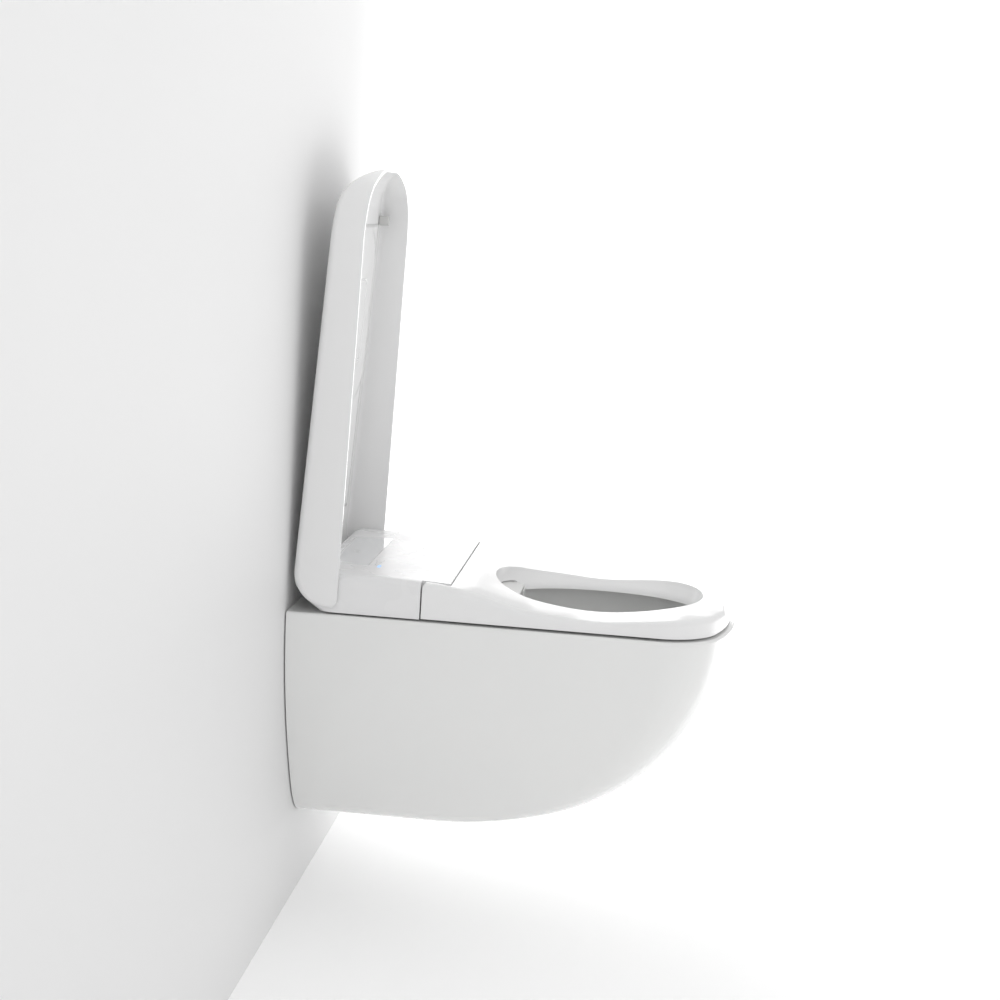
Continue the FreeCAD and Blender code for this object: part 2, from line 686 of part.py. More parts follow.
def seat_profile():
    """The seat's side view: high arms, a dip for the thighs and a front rise."""
    low = RIM + SEAT_GAP
    front = LID_REACH - LID_FRONT_ROUND
    lid_centre = V(0, -front, RIM + LID_FRONT_TOP - LID_FRONT_ROUND)
    r = LID_FRONT_ROUND - LID_WALL - LID_SIDE_GAP
    toe_up = SEAT_FRONT_TOP - 2
    heights = ((SEAT_ARM_REAR, SEAT_REAR_TOP + 3), (UNIT_FRONT + SEAM, SEAT_REAR_TOP),
               (257, SEAT_REAR_TOP - 8), (305, SEAT_DIP + 10), (350, SEAT_DIP + 4),
               (405, SEAT_DIP), (470, SEAT_DIP + 4.5), (530, SEAT_FRONT_TOP - 0.5))
    top = [V(0, -y, RIM + z) for y, z in heights]
    toe = V(0, -front - math.sqrt(r ** 2 - (RIM + toe_up - lid_centre.z) ** 2), RIM + toe_up)
    top.append(toe)
    heel = V(0, -front - math.sqrt(r ** 2 - (low - lid_centre.z) ** 2), low)
    mid = (toe + heel) * 0.5 - lid_centre
    mid = lid_centre + mid.normalize() * r
    curve = Part.BSplineCurve()
    curve.interpolate(Points=top)
    rear = V(0, -SEAT_ARM_REAR, low)
    return Part.Face(Part.Wire([curve.toShape(), Part.Arc(toe, mid, heel).toShape(),
                                Part.makeLine(heel, rear), Part.makeLine(rear, top[0])])), -heel.y


def seat_hole():
    """The hole, opening upwards into a broad soft bevel."""
    a, b = HOLE_WIDTH / 2, HOLE_LENGTH / 2
    wires = [oval(a + da, b + db, HOLE_CENTRE, RIM + z) for z, da, db in
             ((0, 0, 0), (10, 5, 1.5), (17, 13, 4), (27, 24, 7), (56, 46, 12))]
    return Part.makeLoft(wires, True, False)


def seat_ring():
    face, reach = seat_profile()
    half = SEAT_WIDTH / 2
    face.translate(V(-half, 0, 0))
    body = face.extrude(V(2 * half, 0, 0))
    outline = Part.Face(dee(HALF - half, 100, reach, RIM - 5))
    body = body.common(outline.extrude(V(0, 0, 80)))
    body = fillet(body, SEAT_ROUND, seat_top_edge)
    body = body.cut(block(-half + SEAT_ARM, half - SEAT_ARM, 0, -UNIT_FRONT - SEAM,
                          RIM - 5, RIM + 80))
    body = body.cut(arm_corner(half))
    body = body.cut(seat_hole())
    body = body.cut(housing_form(1.5))
    for _, s in SIDES:
        pin = V(s * (half - SEAT_ARM - 1), SEAT_AXIS.y, SEAT_AXIS.z)
        body = body.cut(rod(SEAT_PIN_R + PRESS, pin, X * s, SEAT_ARM - 1.5))
    return body


def arm_corner(half):
    """What rounds the arms' upper back corners off about the seat's axis."""
    corner = block(-half - 1, half + 1, SEAT_AXIS.y, SEAT_AXIS.y + 20, SEAT_AXIS.z, SEAT_AXIS.z + 20)
    turn = SEAT_AXIS_OUT - SEAT_ARM_REAR
    return corner.cut(rod(turn, V(-half - 2, SEAT_AXIS.y, SEAT_AXIS.z), X, 2 * half + 4))


def seat_top_edge(e):
    """The seat's outer top edge."""
    box = e.BoundBox
    return box.ZMin > RIM + SEAT_GAP + 5 and box.YLength > 20


def seat_pin(side):
    inner = SEAT_WIDTH / 2 - SEAT_ARM - 12
    return rod(SEAT_PIN_R, V(side * inner, SEAT_AXIS.y, SEAT_AXIS.z), X * side, 12 + SEAT_ARM - 3)


def seat_bumper(side, out):
    """A soft foot under the seat."""
    x = side * (HOLE_WIDTH / 2 + 38)
    body = block(x - BUMPER_WIDTH / 2, x + BUMPER_WIDTH / 2, -out - BUMPER_LENGTH / 2,
                 -out + BUMPER_LENGTH / 2, RIM + 0.2, RIM + SEAT_GAP)
    return fillet(body, 6, upright)


# ---- the lid -------------------------------------------------------------

def lid_form(inset, low):
    """The closed lid's outside, or its inside when inset by its wall."""
    z0 = RIM + low
    r, big = LID_REAR_ROUND - inset, LID_FRONT_ROUND - inset
    rear = V(0, -LID_REAR - LID_REAR_ROUND, RIM + LID_REAR_TOP - LID_REAR_ROUND)
    front = V(0, -LID_REACH + LID_FRONT_ROUND, RIM + LID_FRONT_TOP - LID_FRONT_ROUND)
    slope = math.atan2(LID_REAR_TOP - LID_FRONT_TOP, rear.y - front.y)
    up = V(0, -math.sin(slope), math.cos(slope))
    foot = front + V(0, -math.sqrt(big ** 2 - (z0 - front.z) ** 2), z0 - front.z)
    lean = (up + (foot - front).normalize()).normalize()
    a, b = V(0, rear.y + r, z0), V(0, rear.y + r, rear.z)
    crest = (up + V(0, 1, 0)).normalize()
    c, d = rear + up * r, front + up * big
    edges = [Part.makeLine(a, b), Part.Arc(b, rear + crest * r, c).toShape(),
             Part.makeLine(c, d), Part.Arc(d, front + lean * big, foot).toShape(),
             Part.makeLine(foot, a)]
    half = LID_WIDTH / 2 - inset
    side = Part.Face(Part.Wire(edges))
    side.translate(V(-half, 0, 0))
    body = side.extrude(V(2 * half, 0, 0))
    outline = Part.Face(dee(HALF - half, -30, LID_REACH - inset, z0 - 5))
    body = body.common(outline.extrude(V(0, 0, 100)))
    return fillet(body, LID_EDGE_ROUND - inset, lambda e: lid_top_edge(e, half))


def lid_top_edge(e, half):
    """The closed lid's top edges, round the sides and the front."""
    box = e.BoundBox
    low = box.ZMin < RIM + LID_GAP + 1
    return not low and box.YLength > 20 and box.YMin < -LID_REAR - LID_REAR_ROUND - 1


def opened(shape):
    """Turns a piece of the closed lid up to where the lid stands open."""
    return shape.rotated(LID_AXIS, X, -LID_OPEN)


def lid_shell():
    body = lid_form(0, LID_GAP).cut(lid_form(LID_WALL, LID_GAP - 20))
    inner = LID_WIDTH / 2 - LID_WALL
    body = body.cut(block(-inner, inner, 5, LID_AXIS.y - 1, RIM - 5, RIM + 80))
    side = LID_WIDTH / 2 + 1
    corner = block(-side, side, 1, LID_AXIS.y, RIM, LID_AXIS.z)
    heel = rod(LID_HEEL, V(-side, LID_AXIS.y, LID_AXIS.z), X, 2 * side)
    body = body.cut(corner.cut(heel))
    for _, s in SIDES:
        pin = V(s * (inner - 1), LID_AXIS.y, LID_AXIS.z)
        body = body.cut(rod(LID_PIN_R + PRESS, pin, X * s, 3.5))
    return opened(body)


def lid_pin(side):
    start = UNIT_HALF - 38
    end = LID_WIDTH / 2 - LID_WALL + 2.3
    return opened(rod(LID_PIN_R, V(side * start, LID_AXIS.y, LID_AXIS.z), X * side, end - start))


def under_lid(out):
    """Height of the closed lid's inner skin at a distance from the wall."""
    rear, front = LID_REAR + LID_REAR_ROUND, LID_REACH - LID_FRONT_ROUND
    share = (out - rear) / (front - rear)
    return RIM + LID_REAR_TOP + (LID_FRONT_TOP - LID_REAR_TOP) * share - LID_WALL


def lid_pad():
    """The raised panel inside the lid, with a long shallow recess."""
    back, front = 98.0, 520.0
    z = under_lid(back) - PAD_THICK
    fall = (under_lid(front) - under_lid(back)) / (front - back)
    outline = Part.Face(dee(HALF - PAD_WIDTH / 2, back, front, 0))
    body = outline.extrude(V(0, 0, PAD_THICK))
    body = fillet(body, 2.5, lambda e: e.BoundBox.ZMax < 0.01)
    tilt = math.degrees(math.atan(-fall))
    body.rotate(V(0, -back, 0), X, tilt)
    body.translate(V(0, 0, z - 0.05))
    return opened(body)


def lid_bumper(side):
    """A soft wedge inside the lid that lands on the seat."""
    out = 525.0
    z = under_lid(out) - 0.7
    foot = RIM + SEAT_FRONT_TOP + 1.5
    body = block(side * 155, side * 168, -out + 7, -out - 7, foot, z)
    return opened(fillet(body, 4, upright))


# ---- the pieces ----------------------------------------------------------

def pieces():
    yield "ceramic_pan", ceramic_pan()
    yield "flush_seal", flush_seal()
    yield "outlet_seal", outlet_seal()
    yield "mounting_plate", mounting_plate()
    yield "unit_base", unit_base()
    yield "top_cover", top_cover()
    yield "sensor_panel", sensor_panel()
    yield "light_bar", lamp_body(0)
    yield "nozzle_housing", nozzle_housing()
    yield "dryer_flap", dryer_flap()
    yield "dryer_fan", dryer_fan()
    yield "heater_tank", heater_tank()
    yield "water_pump", water_pump()
    yield "valve_block", valve_block()
    yield "control_board", control_board()
    yield "release_button", release_button()
    yield "seat_ring", seat_ring()
    yield "lid_shell", lid_shell()
    yield "lid_pad", lid_pad()
    for name, side in SIDES:
        yield "fixing_sleeve_" + name, fixing_sleeve(side)
        yield "fixing_washer_" + name, fixing_washer(side)
        yield "fixing_nut_" + name, fixing_nut(side)
        yield "plate_screw_" + name, plate_screw(side)
        yield "hinge_damper_" + name, hinge_damper(side)
        yield "lid_pin_" + name, lid_pin(side)
        yield "lid_bumper_" + name, lid_bumper(side)
        yield "seat_pin_" + name, seat_pin(side)
        yield "seat_bumper_rear_" + name, seat_bumper(side, 300)
        yield "seat_bumper_front_" + name, seat_bumper(side, 470)
    for name, side in (("rear", -1), ("front", 1)):
        yield "spray_arm_" + name, spray_arm(side)
        yield "nozzle_tip_" + name, nozzle_tip(side)


os.makedirs("parts", exist_ok=True)
for node, shape in pieces():
    print("%-26s solids %d  valid %s  volume %.1f cm3  faces %d"
          % (node, len(shape.Solids), shape.isValid(), shape.Volume / 1000, len(shape.Faces)))
    shape.exportStep("parts/" + node + ".step")
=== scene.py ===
"""Wall hung shower toilet in white: glazed pan, washing unit, seat and lid."""

import math
import bmesh
import bpy
from mathutils import Matrix, Vector


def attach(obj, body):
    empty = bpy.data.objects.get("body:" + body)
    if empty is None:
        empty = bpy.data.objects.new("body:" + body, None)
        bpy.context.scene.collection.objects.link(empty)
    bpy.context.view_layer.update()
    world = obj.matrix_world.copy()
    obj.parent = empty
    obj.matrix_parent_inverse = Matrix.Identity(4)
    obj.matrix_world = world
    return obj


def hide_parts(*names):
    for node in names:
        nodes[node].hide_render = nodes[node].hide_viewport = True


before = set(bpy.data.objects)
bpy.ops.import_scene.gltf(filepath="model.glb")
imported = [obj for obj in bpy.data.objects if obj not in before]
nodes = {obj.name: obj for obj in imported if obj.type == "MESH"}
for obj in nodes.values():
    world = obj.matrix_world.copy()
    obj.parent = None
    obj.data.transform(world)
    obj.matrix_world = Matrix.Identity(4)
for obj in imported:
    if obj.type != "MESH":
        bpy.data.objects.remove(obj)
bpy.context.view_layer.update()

# ---- ceramic pan ---------------------------------------------------------
# One casting of white sanitary ware, fired with a thick clear glaze. The glaze
# pulls tight over the rim and lies a little wavy on the long flanks.

GLAZE_WHITE = (0.80, 0.80, 0.79)
GLAZE_SHADE = (0.77, 0.775, 0.77)
GLAZE_ROUGHNESS = (0.10, 0.17)
GLAZE_RIPPLE = 26.0          # ripples per metre
GLAZE_RIPPLE_DEPTH = 0.0004


def surface_group():
    """Group with a soft patch mask and a two scale height, both from position."""
    group = bpy.data.node_groups.new("surface unevenness", "ShaderNodeTree")
    for name in ("Patches per metre", "Grains per metre", "Grain share"):
        group.interface.new_socket(name, in_out="INPUT", socket_type="NodeSocketFloat")
    for name in ("Mask", "Height"):
        group.interface.new_socket(name, in_out="OUTPUT", socket_type="NodeSocketFloat")
    node, link = group.nodes.new, group.links.new
    given, out, place = node("NodeGroupInput"), node("NodeGroupOutput"), node("ShaderNodeTexCoord")
    patches, grains, blend = (node("ShaderNodeTexNoise"), node("ShaderNodeTexNoise"),
                              node("ShaderNodeMix"))
    patches.inputs["Detail"].default_value = 2.0
    grains.inputs["Detail"].default_value = 1.0
    link(place.outputs["Object"], patches.inputs["Vector"])
    link(place.outputs["Object"], grains.inputs["Vector"])
    link(given.outputs["Patches per metre"], patches.inputs["Scale"])
    link(given.outputs["Grains per metre"], grains.inputs["Scale"])
    link(given.outputs["Grain share"], blend.inputs["Factor"])
    link(patches.outputs["Fac"], blend.inputs["A"])
    link(grains.outputs["Fac"], blend.inputs["B"])
    link(patches.outputs["Fac"], out.inputs["Mask"])
    link(blend.outputs["Result"], out.inputs["Height"])
    return group


SURFACE = surface_group()


def finish(name, light, shade, roughness, patches, grains, grain_share, depth,
           coat=0.0, coat_roughness=0.05, metallic=0.0, specular=0.5):
    """A solid finish whose colour and gloss drift, with a fine height."""
    made = bpy.data.materials.new(name)
    made.use_nodes = True
    tree = made.node_tree
    shader = tree.nodes["Principled BSDF"]
    shader.inputs["Coat Weight"].default_value = coat
    shader.inputs["Coat Roughness"].default_value = coat_roughness
    shader.inputs["Metallic"].default_value = metallic
    shader.inputs["Specular IOR Level"].default_value = specular
    uneven = tree.nodes.new("ShaderNodeGroup")
    uneven.node_tree = SURFACE
    uneven.inputs["Patches per metre"].default_value = patches
    uneven.inputs["Grains per metre"].default_value = grains
    uneven.inputs["Grain share"].default_value = grain_share
    tint = tree.nodes.new("ShaderNodeMix")
    tint.data_type = "RGBA"
    tint.inputs["A"].default_value = (*shade, 1.0)
    tint.inputs["B"].default_value = (*light, 1.0)
    gloss = tree.nodes.new("ShaderNodeMapRange")
    gloss.inputs["From Min"].default_value = 0.3
    gloss.inputs["From Max"].default_value = 0.7
    gloss.inputs["To Min"].default_value = roughness[0]
    gloss.inputs["To Max"].default_value = roughness[1]
    bump = tree.nodes.new("ShaderNodeBump")
    bump.inputs["Strength"].default_value = 1.0
    bump.inputs["Distance"].default_value = depth
    link = tree.links.new
    link(uneven.outputs["Mask"], tint.inputs["Factor"])
    link(tint.outputs["Result"], shader.inputs["Base Color"])
    link(uneven.outputs["Mask"], gloss.inputs["Value"])
    link(gloss.outputs["Result"], shader.inputs["Roughness"])
    link(uneven.outputs["Height"], bump.inputs["Height"])
    link(bump.outputs["Normal"], shader.inputs["Normal"])
    return made


def smooth_piece(node, name, body, material, sharp=32.0):
    """The CAD piece with its facets joined and its curved faces shaded smooth."""
    mesh = nodes[node].data.copy()
    mesh.name = name
    work = bmesh.new()
    work.from_mesh(mesh)
    bmesh.ops.remove_doubles(work, verts=work.verts, dist=1e-6)
    for edge in work.edges:
        edge.smooth = len(edge.link_faces) == 2 and edge.calc_face_angle(0.0) < math.radians(sharp)
    for face in work.faces:
        face.smooth = True
    work.to_mesh(mesh)
    work.free()
    if mesh.attributes.get("custom_normal"):
        mesh.attributes.remove(mesh.attributes["custom_normal"])
    mesh.materials.clear()
    mesh.materials.append(material)
    made = bpy.data.objects.new(name, mesh)
    bpy.context.scene.collection.objects.link(made)
    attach(made, body)
    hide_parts(node)
    return made


def dress(material, *names):
    """Gives CAD nodes that keep their own mesh a finish."""
    for name in names:
        mesh = nodes[name].data
        mesh.materials.clear()
        mesh.materials.append(material)


glaze = finish("white glaze", light=GLAZE_WHITE, shade=GLAZE_SHADE, roughness=GLAZE_ROUGHNESS,
               patches=5.0, grains=GLAZE_RIPPLE, grain_share=0.6, depth=GLAZE_RIPPLE_DEPTH,
               coat=0.6, coat_roughness=0.04)
pan = smooth_piece("ceramic_pan", "pan_casting", "pan", glaze)

# ---- wall connections ----------------------------------------------------
# Black rubber seals for the flush pipe and the soil connector, plastic bushes in
# the stud holes, and zinc plated washers and nuts that draw the pan to the wall.

rubber = finish("black rubber", light=(0.035, 0.035, 0.036), shade=(0.022, 0.022, 0.022),
                roughness=(0.55, 0.7), patches=60.0, grains=1500.0, grain_share=0.6, depth=0.00006)
zinc = finish("bright zinc", light=(0.60, 0.61, 0.62), shade=(0.50, 0.51, 0.53),
              roughness=(0.25, 0.38), patches=90.0, grains=2500.0, grain_share=0.7, depth=0.00003,
              metallic=1.0)
nylon = finish("natural nylon", light=(0.62, 0.62, 0.60), shade=(0.56, 0.56, 0.54),
               roughness=(0.4, 0.5), patches=40.0, grains=1800.0, grain_share=0.5, depth=0.00003)
dress(rubber, "flush_seal", "outlet_seal")
for side in ("left", "right"):
    dress(nylon, "fixing_sleeve_" + side)
    dress(zinc, "fixing_washer_" + side, "fixing_nut_" + side, "plate_screw_" + side,
          "lid_pin_" + side, "seat_pin_" + side)

# ---- washing unit --------------------------------------------------------
# A satin white moulded cover over a grey tray, with a release button in its side.
# The cover's top runs flush with the seat, and the tray slides onto a plate that
# two screws hold on the pan's deck.

COVER_WHITE = (0.80, 0.80, 0.80)
COVER_SHADE = (0.77, 0.77, 0.775)

cover_plastic = finish("satin white plastic", light=COVER_WHITE, shade=COVER_SHADE,
                       roughness=(0.24, 0.31), patches=14.0, grains=2200.0, grain_share=0.8,
                       depth=0.00002, specular=0.22)
tray_plastic = finish("grey tray plastic", light=(0.58, 0.58, 0.57), shade=(0.52, 0.52, 0.52),
                      roughness=(0.42, 0.52), patches=30.0, grains=1600.0, grain_share=0.7,
                      depth=0.00005)
cover = smooth_piece("top_cover", "unit_cover", "pan", cover_plastic)
dress(tray_plastic, "unit_base", "mounting_plate")
dress(cover_plastic, "release_button")

# ---- control panel and lamp ---------------------------------------------
# A flat acrylic window let into the cover, with polished edges, and a small
# lens in front of it that glows blue.

acrylic = finish("polished acrylic", light=(0.80, 0.81, 0.82), shade=(0.77, 0.78, 0.80),
                 roughness=(0.02, 0.04), patches=10.0, grains=60.0, grain_share=0.2, depth=0.000002,
                 coat=1.0, coat_roughness=0.01)
dress(acrylic, "sensor_panel")

lens = finish("blue lens", light=(0.35, 0.55, 0.85), shade=(0.30, 0.50, 0.80),
              roughness=(0.08, 0.12), patches=60.0, grains=900.0, grain_share=0.3, depth=0.00001)
lit = lens.node_tree.nodes["Principled BSDF"].inputs
lit["Emission Color"].default_value = (0.25, 0.5, 1.0, 1.0)
lit["Emission Strength"].default_value = 0.6
dress(lens, "light_bar")

# ---- marks on the cover --------------------------------------------------
# Three dark sensor windows in the cover, in front of the panel's near corner, and
# a faint grey ring with a dot printed on the panel. They stand up by a hair.

MARK_RISE = 0.00008
SENSOR_WINDOWS = ((-0.0713, -0.1000), (-0.0857, -0.1018), (-0.0968, -0.1021))
SENSOR_RADIUS = 0.0011
SIGN_PLACE = (-0.0104, -0.0609)
SIGN_RING = (0.0038, 0.0031)
SIGN_DOT = 0.0008
MARK_SIDES = 32

dark_window = finish("dark window", light=(0.10, 0.11, 0.11), shade=(0.08, 0.085, 0.09),
                     roughness=(0.1, 0.16), patches=90.0, grains=800.0, grain_share=0.4,
                     depth=0.000005)
faint_print = finish("faint grey print", light=(0.50, 0.50, 0.51), shade=(0.46, 0.46, 0.47),
                     roughness=(0.3, 0.4), patches=90.0, grains=1200.0, grain_share=0.5,
                     depth=0.000005)


def flat_ring(name, place, level, outer, inner, material):
    """A printed ring, or a spot where inner is 0, facing up on the cover."""
    work = bmesh.new()
    turns = [2 * math.pi * n / MARK_SIDES for n in range(MARK_SIDES)]
    rims = [[work.verts.new((place[0] + radius * math.cos(a), place[1] + radius * math.sin(a), level))
             for a in turns] for radius in (outer, inner) if radius]
    if inner:
        for n in range(MARK_SIDES):
            work.faces.new((rims[0][n - 1], rims[0][n], rims[1][n], rims[1][n - 1]))
    else:
        work.faces.new(rims[0])
    bmesh.ops.recalc_face_normals(work, faces=work.faces)
    if work.faces[:][0].normal.z < 0:
        bmesh.ops.reverse_faces(work, faces=work.faces)
    mesh = bpy.data.meshes.new(name)
    work.to_mesh(mesh)
    work.free()
    mesh.materials.append(material)
    made = bpy.data.objects.new(name, mesh)
    bpy.context.scene.collection.objects.link(made)
    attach(made, "pan")


cover_top = max(v.co.z for v in nodes["top_cover"].data.vertices)
panel_top = max(v.co.z for v in nodes["sensor_panel"].data.vertices)
for number, spot in enumerate(SENSOR_WINDOWS):
    flat_ring(f"sensor_window_{number}", spot, cover_top + MARK_RISE, SENSOR_RADIUS, 0, dark_window)
flat_ring("sign_ring", SIGN_PLACE, panel_top + MARK_RISE, *SIGN_RING, faint_print)
flat_ring("sign_dot", SIGN_PLACE, panel_top + MARK_RISE, SIGN_DOT, 0, faint_print)

# ---- spray arms and nozzle housing --------------------------------------
# Two drawn steel tubes with moulded tips, in a moulded housing that leans down
# into the bowl, and a little flap over the warm air port.

housing_plastic = finish("housing plastic", light=(0.72, 0.72, 0.71), shade=(0.68, 0.68, 0.67),
                         roughness=(0.28, 0.36), patches=40.0, grains=2000.0, grain_share=0.6,
                         depth=0.00003)
steel = finish("drawn steel", light=(0.62, 0.62, 0.63), shade=(0.52, 0.52, 0.53),
               roughness=(0.18, 0.3), patches=120.0, grains=3000.0, grain_share=0.6, depth=0.00001,
               metallic=1.0)
dress(housing_plastic, "nozzle_housing", "dryer_flap", "nozzle_tip_rear", "nozzle_tip_front")
dress(steel, "spray_arm_rear", "spray_arm_front")

# ---- works inside the unit ----------------------------------------------
# Flow heater, pump, valves, fan, dampers and a printed board, all dark moulded
# parts, which only show when the cover is off.

works_plastic = finish("dark works plastic", light=(0.06, 0.06, 0.065), shade=(0.04, 0.04, 0.042),
                       roughness=(0.4, 0.55), patches=50.0, grains=1400.0, grain_share=0.6,
                       depth=0.00005)
board_green = finish("board lacquer", light=(0.03, 0.16, 0.07), shade=(0.02, 0.12, 0.05),
                     roughness=(0.25, 0.4), patches=120.0, grains=2500.0, grain_share=0.6,
                     depth=0.00002)
dress(works_plastic, "heater_tank", "water_pump", "valve_block", "dryer_fan",
      "hinge_damper_left", "hinge_damper_right")
dress(board_green, "control_board")

# ---- seat ----------------------------------------------------------------
# One thick moulding in high gloss white thermoset, polished, turning on two
# pins, with soft pale feet under it. The lid's own two feet are of the same rubber.

SEAT_WHITE = (0.82, 0.82, 0.82)
SEAT_SHADE = (0.80, 0.80, 0.80)

seat_gloss = finish("gloss white thermoset", light=SEAT_WHITE, shade=SEAT_SHADE,
                    roughness=(0.10, 0.15), patches=9.0, grains=45.0, grain_share=0.5,
                    depth=0.00008, coat=0.05, coat_roughness=0.04, specular=0.18)
soft_grey = finish("soft pale rubber", light=(0.60, 0.60, 0.59), shade=(0.55, 0.55, 0.54),
                   roughness=(0.5, 0.6), patches=60.0, grains=1500.0, grain_share=0.6,
                   depth=0.00003)
seat = smooth_piece("seat_ring", "seat_moulding", "seat", seat_gloss)
for side in ("left", "right"):
    dress(soft_grey, "seat_bumper_rear_" + side, "seat_bumper_front_" + side, "lid_bumper_" + side)

# ---- lid -----------------------------------------------------------------
# A deep moulded cover in the same gloss white thermoset, open towards the seat,
# turning on two pins at the rear of the washing unit.

lid_gloss = finish("gloss white lid", light=SEAT_WHITE, shade=SEAT_SHADE, roughness=(0.12, 0.18),
                   patches=7.0, grains=40.0, grain_share=0.5, depth=0.00012, coat=0.15,
                   coat_roughness=0.05, specular=0.35)
lid = smooth_piece("lid_shell", "lid_moulding", "lid", lid_gloss)

# ---- panel inside the lid ------------------------------------------------
# A thin moulding in the lid's own white, snapped in. Its middle stands up as a
# field with soft shoulders, and a cover plate is let into that field.

PANEL_COARSE, PANEL_FINE = 0.006, 0.0006       # between grid lines
PANEL_FINE_LINES = 4         # to each side of the plate's joint
PANEL_BACKING = 0.0006       # least thickness
FOOT_FIELD = (0.153, 0.003, 0.300, 0.030)      # half width, foot, head, corner radius
FOOT_RISE, FOOT_SHOULDER = 0.0012, 0.004
RAISED_FIELD = (0.157, 0.168, 0.417, 0.062)
RAISED_RISE, RAISED_SHOULDER = 0.0022, 0.009
COVER_PLATE = (0.097, 0.226, 0.343, 0.008)
PLATE_JOINT, PLATE_JOINT_DEPTH = 0.0011, 0.0016
PLATE_JOINT_FLOOR = 0.5      # share of PLATE_JOINT that lies at full depth


def beyond(across, along, field):
    """Distance outside a rounded rectangle, negative inside it."""
    half, foot, head, corner = field
    side = abs(across) - (half - corner)
    end = abs(along - (foot + head) / 2) - ((head - foot) / 2 - corner)
    return math.hypot(max(side, 0.0), max(end, 0.0)) + min(max(side, end), 0.0) - corner


def eased(share):
    """A soft step from 0 to 1."""
    share = min(max(share, 0.0), 1.0)
    return share * share * (3 - 2 * share)


def panel_height(across, along):
    """Thickness of the panel at a place on it."""
    height = PANEL_BACKING
    height += FOOT_RISE * eased(-beyond(across, along, FOOT_FIELD) / FOOT_SHOULDER)
    height += RAISED_RISE * eased(-beyond(across, along, RAISED_FIELD) / RAISED_SHOULDER)
    from_joint = abs(beyond(across, along, COVER_PLATE))
    return height - PLATE_JOINT_DEPTH * eased(1 + PLATE_JOINT_FLOOR - from_joint / PLATE_JOINT)


def panel_lines(low, high, fine_at):
    """Grid lines with close ones beside each place in fine_at."""
    lines = {low, high}
    count = round((high - low) / PANEL_COARSE)
    lines.update(low + (high - low) * n / count for n in range(count))
    for place in fine_at:
        lines.update(place + PANEL_FINE * n for n in range(-PANEL_FINE_LINES, PANEL_FINE_LINES + 1))
    return sorted(line for line in lines if low <= line <= high)


def inner_panel():
    """The panel's moulding on the CAD plate's own axes and within its thickness."""
    plate = nodes["lid_pad"].data
    face = max((p for p in plate.polygons if p.normal.y < -0.5), key=lambda p: p.area)
    outward, across = face.normal.copy(), Vector((1, 0, 0))
    along = across.cross(outward)
    along *= math.copysign(1.0, along.z)
    half = max(v.co.dot(across) for v in plate.vertices)
    foot = min(v.co.dot(along) for v in plate.vertices)
    head = max(v.co.dot(along) for v in plate.vertices)
    back = min(v.co.dot(outward) for v in plate.vertices)
    half_plate, plate_foot, plate_head, _ = COVER_PLATE
    columns = panel_lines(-half, half, (-half_plate, half_plate))
    rows = panel_lines(0.0, head - foot, (plate_foot, plate_head))
    work = bmesh.new()
    grid = [[work.verts.new(across * x + along * (foot + y) + outward * (back + panel_height(x, y)))
             for x in columns] for y in rows]
    for lower, upper in zip(grid, grid[1:]):
        for near, far, far_up, near_up in zip(lower, lower[1:], upper[1:], upper):
            work.faces.new((near, far, far_up, near_up))
    bmesh.ops.recalc_face_normals(work, faces=work.faces)
    if work.faces[0].normal.dot(outward) < 0:
        bmesh.ops.reverse_faces(work, faces=work.faces)
    rim = [edge for edge in work.edges if edge.is_boundary]
    skirt = bmesh.ops.extrude_edge_only(work, edges=rim)["geom"]
    for vert in (g for g in skirt if isinstance(g, bmesh.types.BMVert)):
        vert.co += outward * (back - vert.co.dot(outward))
    open_edges = [edge for edge in work.edges if edge.is_boundary]
    bmesh.ops.contextual_create(work, geom=open_edges)
    bmesh.ops.recalc_face_normals(work, faces=work.faces)
    for polygon in work.faces:
        polygon.smooth = True
    mesh = bpy.data.meshes.new("lid_inner_panel")
    work.to_mesh(mesh)
    work.free()
    mesh.materials.append(lid_gloss)
    made = bpy.data.objects.new("lid_inner_panel", mesh)
    bpy.context.scene.collection.objects.link(made)
    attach(made, "lid")
    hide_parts("lid_pad")


inner_panel()

# ---- room ----------------------------------------------------------------
# A pale floor and wall that run into white light to the right, a white screen far
# behind, a white surround and three large soft lamps. None of it is the object's.

FLOOR_Z = -0.360
WALL_Y = 0.002               # just behind the pan's back
ROOM_LEFT, ROOM_RIGHT = -4.0, 40.0
ROOM_FRONT, ROOM_TOP = -9.0, 9.0
FADE_FROM, FADE_TO = 0.05, 1.3
FULL_WHITE = 1.2             # light given off where the sheets have run into white
LAMP_AIM = Vector((0, -0.3, 0))
SURROUND_LIGHT = 0.78


def sheet_of(name, material, corners):
    """A flat four cornered sheet of the room."""
    mesh = bpy.data.meshes.new(name)
    mesh.from_pydata(corners, [], [tuple(range(len(corners)))])
    mesh.materials.append(material)
    made = bpy.data.objects.new(name, mesh)
    bpy.context.scene.collection.objects.link(made)


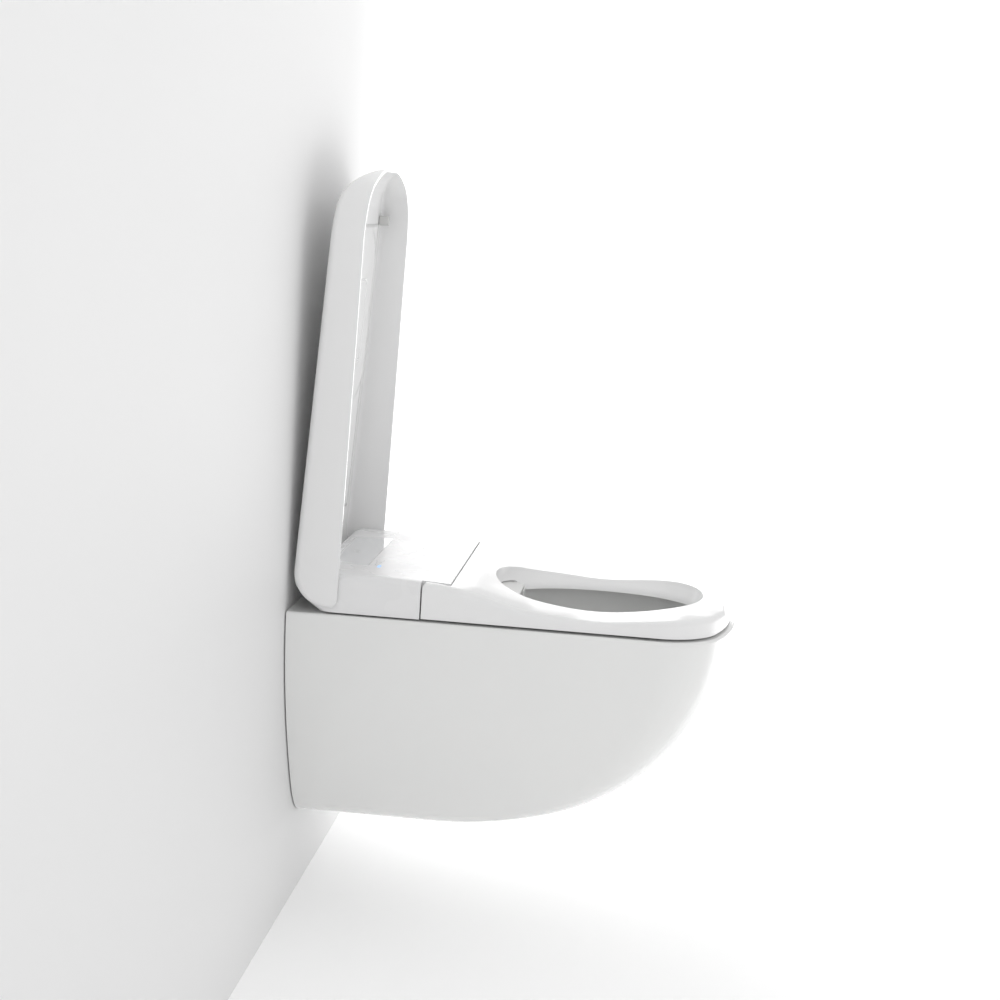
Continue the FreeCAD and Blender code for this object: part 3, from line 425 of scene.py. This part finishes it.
def room_finish(name, colour, near_glow):
    """Matt paint that runs into plain white light to the right of the pan."""
    made = finish(name, light=colour, shade=colour, roughness=(0.6, 0.7), patches=2.0, grains=300.0,
                  grain_share=0.3, depth=0.0001)
    tree = made.node_tree
    shader = tree.nodes["Principled BSDF"]
    place, split = tree.nodes.new("ShaderNodeTexCoord"), tree.nodes.new("ShaderNodeSeparateXYZ")
    fade, glow = tree.nodes.new("ShaderNodeMapRange"), tree.nodes.new("ShaderNodeMix")
    fade.interpolation_type = "SMOOTHSTEP"
    fade.inputs["From Min"].default_value = FADE_FROM
    fade.inputs["From Max"].default_value = FADE_TO
    glow.data_type = "RGBA"
    glow.inputs["A"].default_value = (near_glow, near_glow, near_glow, 1)
    glow.inputs["B"].default_value = (FULL_WHITE, FULL_WHITE, FULL_WHITE, 1)
    link = tree.links.new
    link(place.outputs["Object"], split.inputs["Vector"])
    link(split.outputs["X"], fade.inputs["Value"])
    link(fade.outputs["Result"], glow.inputs["Factor"])
    link(glow.outputs["Result"], shader.inputs["Emission Color"])
    shader.inputs["Emission Strength"].default_value = 1.0
    return made


wall_paint = room_finish("wall paint", colour=(0.80, 0.80, 0.80), near_glow=0.01)
floor_paint = room_finish("floor paint", colour=(0.90, 0.90, 0.90), near_glow=0.14)
sheet_of("floor", floor_paint, [
    (ROOM_LEFT, ROOM_FRONT, FLOOR_Z), (ROOM_RIGHT, ROOM_FRONT, FLOOR_Z),
    (ROOM_RIGHT, WALL_Y, FLOOR_Z), (ROOM_LEFT, WALL_Y, FLOOR_Z)])
sheet_of("wall", wall_paint, [
    (ROOM_LEFT, WALL_Y, FLOOR_Z), (ROOM_RIGHT, WALL_Y, FLOOR_Z),
    (ROOM_RIGHT, WALL_Y, ROOM_TOP), (ROOM_LEFT, WALL_Y, ROOM_TOP)])
sheet_of("far screen", wall_paint, [
    (ROOM_RIGHT, ROOM_FRONT, FLOOR_Z), (ROOM_RIGHT, WALL_Y, FLOOR_Z),
    (ROOM_RIGHT, WALL_Y, ROOM_TOP), (ROOM_RIGHT, ROOM_FRONT, ROOM_TOP)])


def soft_lamp(name, side, power, place):
    """A square area lamp that faces the middle of the pan's width."""
    data = bpy.data.lights.new(name, "AREA")
    data.shape = "SQUARE"
    data.size = side
    data.energy = power
    made = bpy.data.objects.new(name, data)
    made.location = place
    made.rotation_euler = (LAMP_AIM - Vector(place)).to_track_quat("-Z", "Y").to_euler()
    bpy.context.scene.collection.objects.link(made)


soft_lamp("overhead lamp", side=2.5, power=5.0, place=(0.2, -1.2, 2.4))
soft_lamp("front lamp", side=1.8, power=1.2, place=(-0.3, -2.8, 1.2))
soft_lamp("side lamp", side=1.6, power=6.5, place=(-3.2, -0.9, 1.0))

world = bpy.data.worlds.new("white surround")
world.use_nodes = True
world.node_tree.nodes["Background"].inputs["Color"].default_value = (1, 1, 1, 1)
world.node_tree.nodes["Background"].inputs["Strength"].default_value = SURROUND_LIGHT
bpy.context.scene.world = world
bpy.context.scene.view_settings.view_transform = "Standard"

# ---- camera --------------------------------------------------------------
# At the left of the pan, a little above the rim, rolled by a few degrees.

CAMERA_PLACE = Vector((-2.5864, -0.5028, 0.6384))
CAMERA_TURN = 0.0941         # towards the wall, from square to the pan's side
CAMERA_DIP = 0.157           # radians, as are the turn and the roll
CAMERA_ROLL = 0.0621
CAMERA_LENS = 67.31

ahead = Vector((math.cos(CAMERA_DIP) * math.cos(CAMERA_TURN),
                math.cos(CAMERA_DIP) * math.sin(CAMERA_TURN), -math.sin(CAMERA_DIP)))
across = Vector((math.sin(CAMERA_TURN), -math.cos(CAMERA_TURN), 0))
above = across.cross(ahead)
right = across * math.cos(CAMERA_ROLL) + above * math.sin(CAMERA_ROLL)
up = above * math.cos(CAMERA_ROLL) - across * math.sin(CAMERA_ROLL)
turn = Matrix((right, up, -ahead)).transposed()
camera_data = bpy.data.cameras.new("camera")
camera_data.sensor_width = 36.0
camera_data.lens = CAMERA_LENS
camera = bpy.data.objects.new("camera", camera_data)
camera.matrix_world = Matrix.Translation(CAMERA_PLACE) @ turn.to_4x4()
bpy.context.scene.collection.objects.link(camera)
bpy.context.scene.camera = camera
